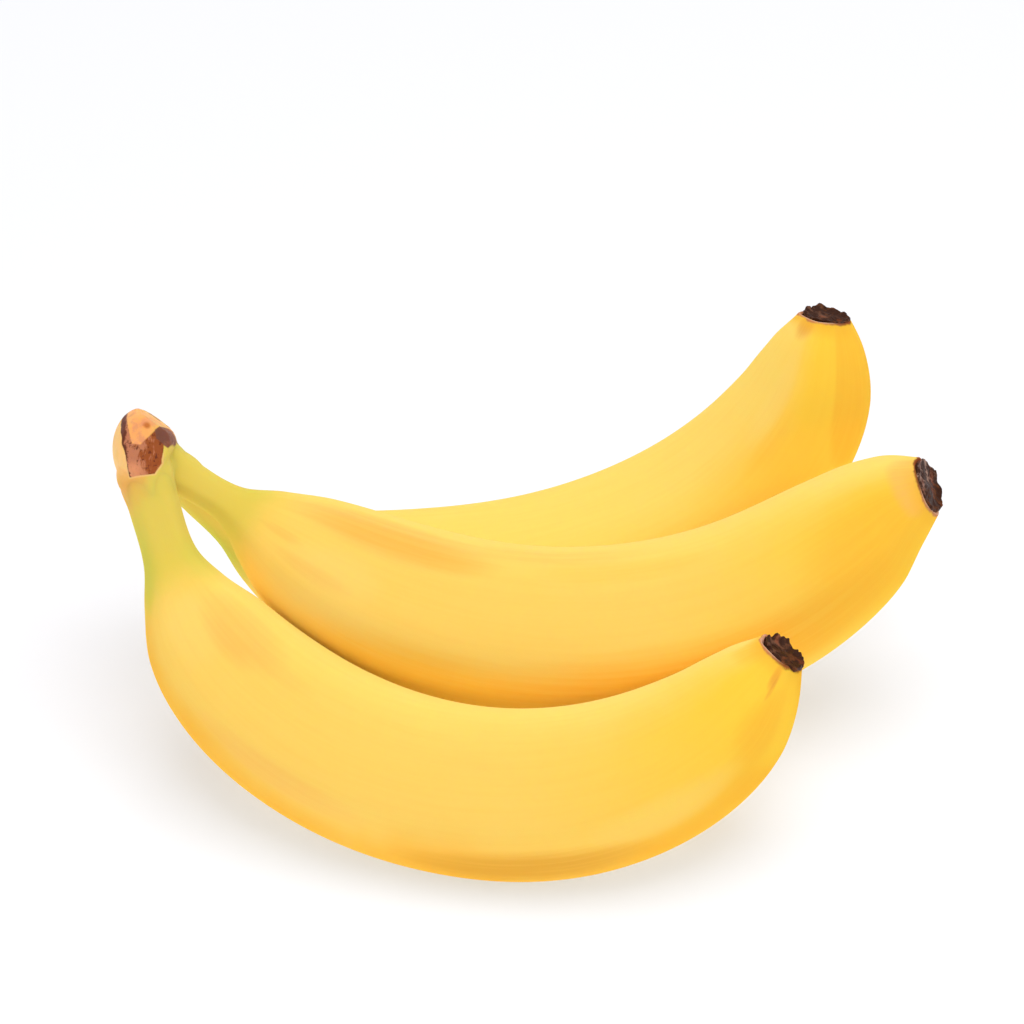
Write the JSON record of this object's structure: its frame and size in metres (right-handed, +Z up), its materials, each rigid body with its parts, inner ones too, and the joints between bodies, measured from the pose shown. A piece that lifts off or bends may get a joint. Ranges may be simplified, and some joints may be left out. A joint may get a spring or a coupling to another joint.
{
  "type": "banana bunch",
  "caption": "Hand of ripe bananas joined at a cut crown, lying with the tips curving up.",
  "frame": {"origin": "middle of the bunch's box, on the surface that it lies on", "axes": "+X from the crown to the tips, +Y from the front fruit to the back one, +Z up"},
  "size_m": [0.1958, 0.13, 0.0866],
  "materials": {
    "peel": "waxy satin peel",
    "crown": "dry cut stalk",
    "tip": "dry dark blossom end"
  },
  "bodies": {
    "root": {"crown": "crown", "finger_front": "peel", "tip_front": "tip", "finger_middle": "peel", "tip_middle": "tip", "finger_back": "peel", "tip_back": "tip"}
  },
  "joints": []
}
